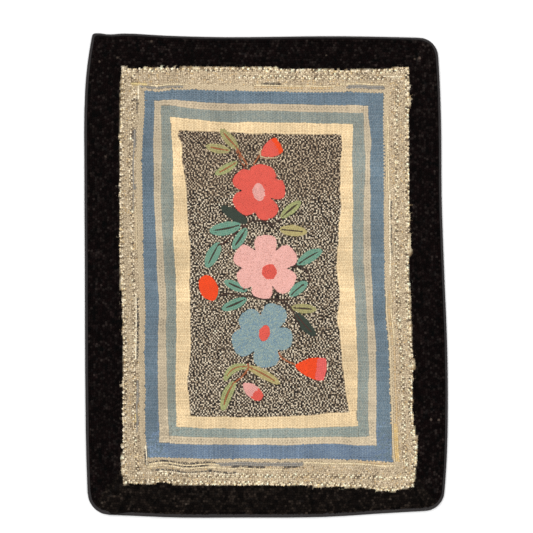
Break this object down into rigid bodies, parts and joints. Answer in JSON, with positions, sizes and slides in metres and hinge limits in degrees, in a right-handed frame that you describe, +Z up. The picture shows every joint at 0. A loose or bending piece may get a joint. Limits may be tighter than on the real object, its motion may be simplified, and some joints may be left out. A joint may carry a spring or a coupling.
{
  "type": "hooked rug",
  "caption": "Flat hooked wool rug with petalled flowers on a tweed field, striped borders and a bound black edge.",
  "frame": {"origin": "middle of the rug's box, on the floor that it lies on", "axes": "+X to the right across the rug, +Y along its length to the end with the pointed corner, +Z up out of its face"},
  "size_m": [0.8016, 1.0672, 0.0091],
  "materials": {
    "hooked_wool": "matt wool loops",
    "binding_tape": "woven cotton tape"
  },
  "bodies": {
    "root": {"hooked_field": "hooked_wool", "edge_binding": "binding_tape"}
  },
  "joints": []
}
